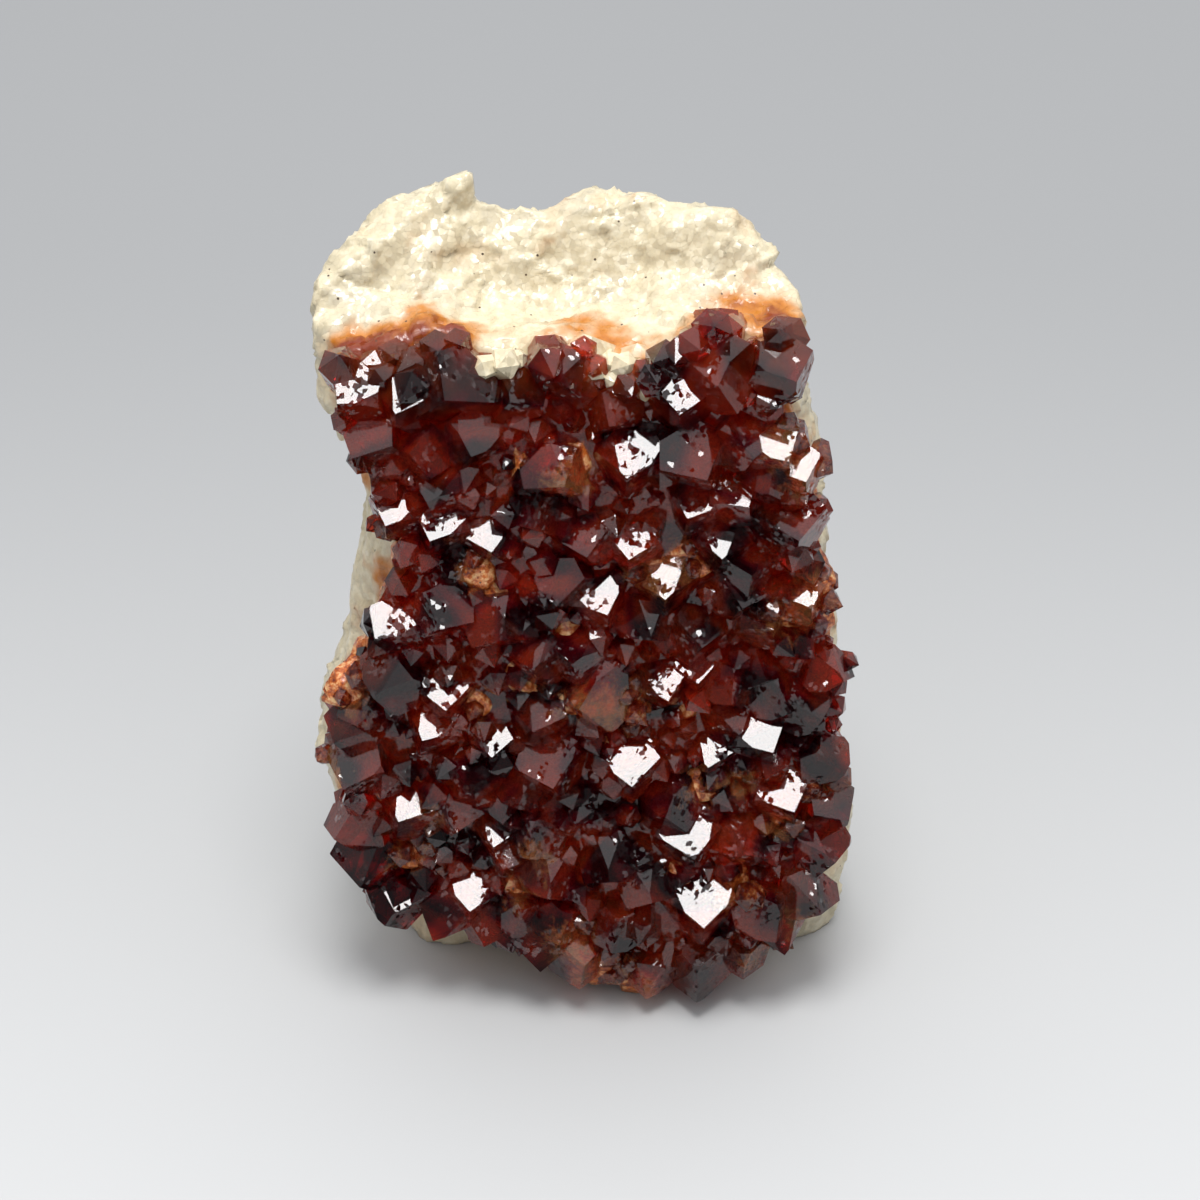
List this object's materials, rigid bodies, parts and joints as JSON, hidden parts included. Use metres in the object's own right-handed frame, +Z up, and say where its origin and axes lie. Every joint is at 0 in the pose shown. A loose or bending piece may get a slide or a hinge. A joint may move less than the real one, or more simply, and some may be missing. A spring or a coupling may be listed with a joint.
{
  "type": "citrine cluster",
  "caption": "Crust of dark red-brown citrine points grown on a broken slab of white milky quartz, standing upright on a flat cut, as a mineral display piece",
  "frame": {"origin": "on the surface that the cluster stands on, under the middle of its bounding box", "axes": "+X to the right of the crystal face, -Y the way the points face, +Z up"},
  "size_m": [0.0864, 0.06, 0.1285],
  "materials": {
    "milky_quartz": "broken, granular cream-white quartz with amber stain near the points and small dark specks",
    "citrine": "clear dark red-brown quartz with natural glossy faces, cloudy orange roots"
  },
  "bodies": {
    "root": {"quartz_matrix": "milky_quartz", "citrine_crystals": "citrine"}
  },
  "joints": []
}
